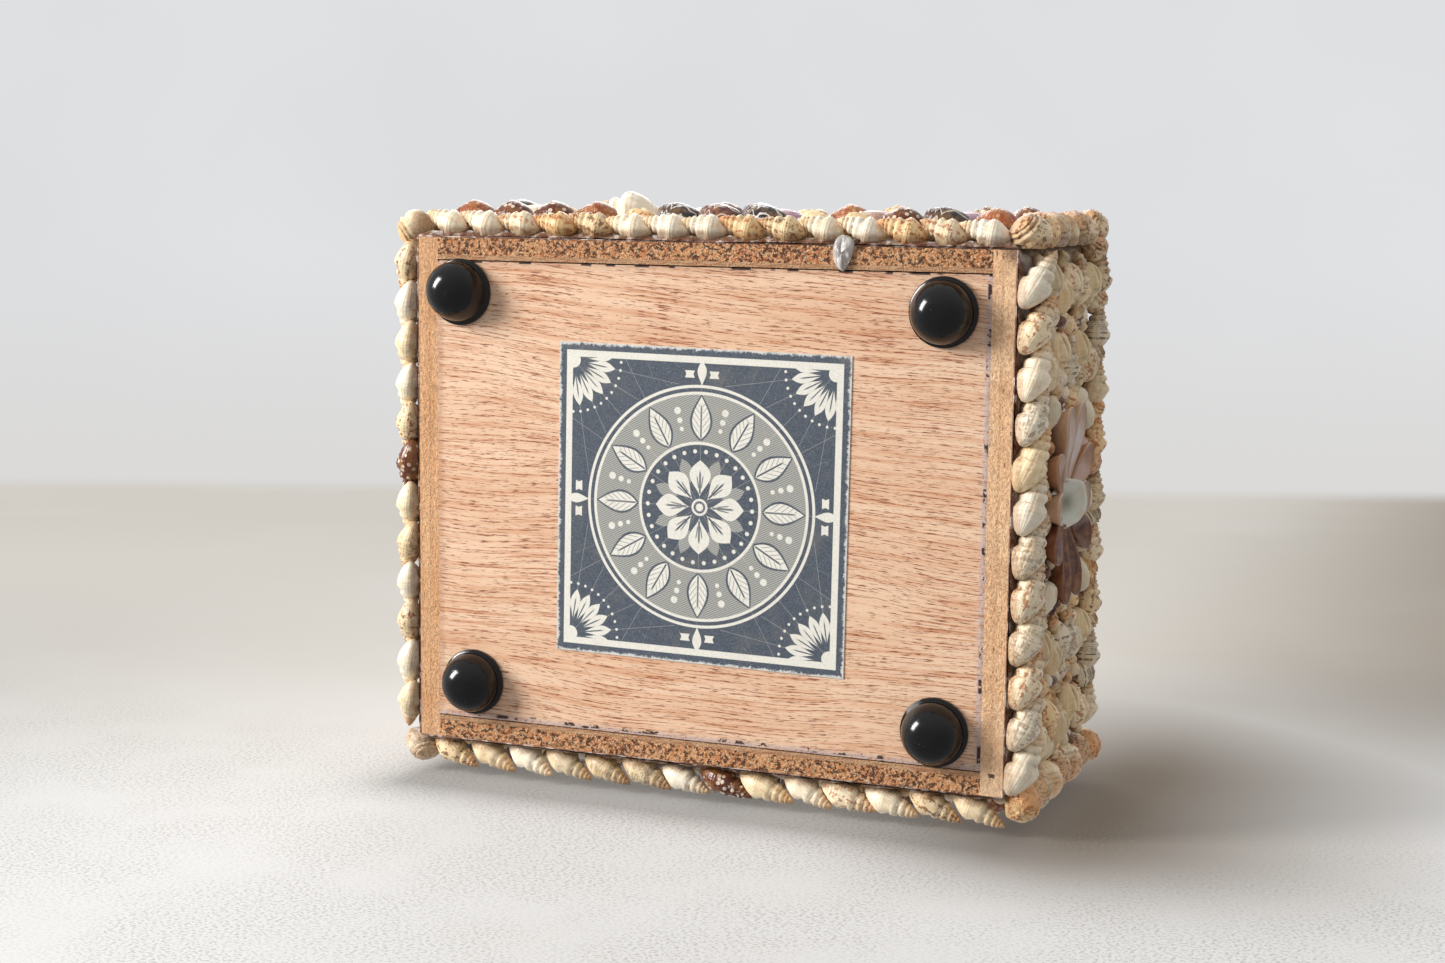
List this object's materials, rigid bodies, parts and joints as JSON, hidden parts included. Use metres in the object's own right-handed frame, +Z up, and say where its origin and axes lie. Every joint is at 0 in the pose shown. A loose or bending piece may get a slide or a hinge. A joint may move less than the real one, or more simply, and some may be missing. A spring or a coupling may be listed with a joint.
{
  "type": "shell box",
  "caption": "Small rectangular wooden box on dome feet, sides and lift-off lid covered in glued sea shells, paper label under its base.",
  "frame": {"origin": "on the ground under the middle of the box, at the level of the feet's tips", "axes": "+X along the box's length, +Y from the front side to the back side, +Z up"},
  "size_m": [0.167, 0.1448, 0.0841],
  "materials": {
    "fibreboard": "raw sawn fibreboard, orange-tan, granular edges",
    "plywood": "bare plywood veneer with fine reddish pores",
    "label_paper": "matt printed paper, slate grey with off-white ornament, worn edges",
    "clear_glue": "set clear glue, slightly milky",
    "foot_gloss": "glossy black",
    "small_shells": "natural shell, satin, cream with brown bands, dots and dark kinds",
    "petal_shell": "smooth brown and pink shell, satin",
    "clam_shell": "smooth pink, violet and cream shell, satin",
    "nacre": "mother-of-pearl, polished"
  },
  "bodies": {
    "root": {"big_whelk_back": "small_shells", "big_whelk_front": "small_shells", "bottom_panel": "plywood", "clam_valve_front_1": "clam_shell", "clam_valve_front_2": "clam_shell", "clam_valve_front_3": "clam_shell", "clam_valve_front_4": "clam_shell", "clam_valve_front_5": "clam_shell", "flower_boss_lid": "nacre", "foot_back_left": "foot_gloss", "foot_back_right": "foot_gloss", "foot_front_left": "foot_gloss", "foot_front_right": "foot_gloss", "glue_drip": "clear_glue", "lid_board": "fibreboard", "nacre_chip_right": "nacre", "paper_label": "label_paper", "petal_lid_1": "clam_shell", "petal_lid_10": "clam_shell", "petal_lid_11": "clam_shell", "petal_lid_12": "clam_shell", "petal_lid_2": "clam_shell", "petal_lid_3": "clam_shell", "petal_lid_4": "clam_shell", "petal_lid_5": "clam_shell", "petal_lid_6": "clam_shell", "petal_lid_7": "clam_shell", "petal_lid_8": "clam_shell", "petal_lid_9": "clam_shell", "petal_right_1": "petal_shell", "petal_right_10": "petal_shell", "petal_right_2": "petal_shell", "petal_right_3": "petal_shell", "petal_right_4": "petal_shell", "petal_right_5": "petal_shell", "petal_right_6": "petal_shell", "petal_right_7": "petal_shell", "petal_right_8": "petal_shell", "petal_right_9": "petal_shell", "shells_back": "small_shells", "shells_front": "small_shells", "shells_left": "small_shells", "shells_lid_back": "small_shells", "shells_lid_front": "small_shells", "shells_lid_left": "small_shells", "shells_lid_right": "small_shells", "shells_lid_top": "small_shells", "shells_right": "small_shells", "wall_back": "fibreboard", "wall_front": "fibreboard", "wall_left": "fibreboard", "wall_right": "fibreboard"}
  },
  "joints": []
}
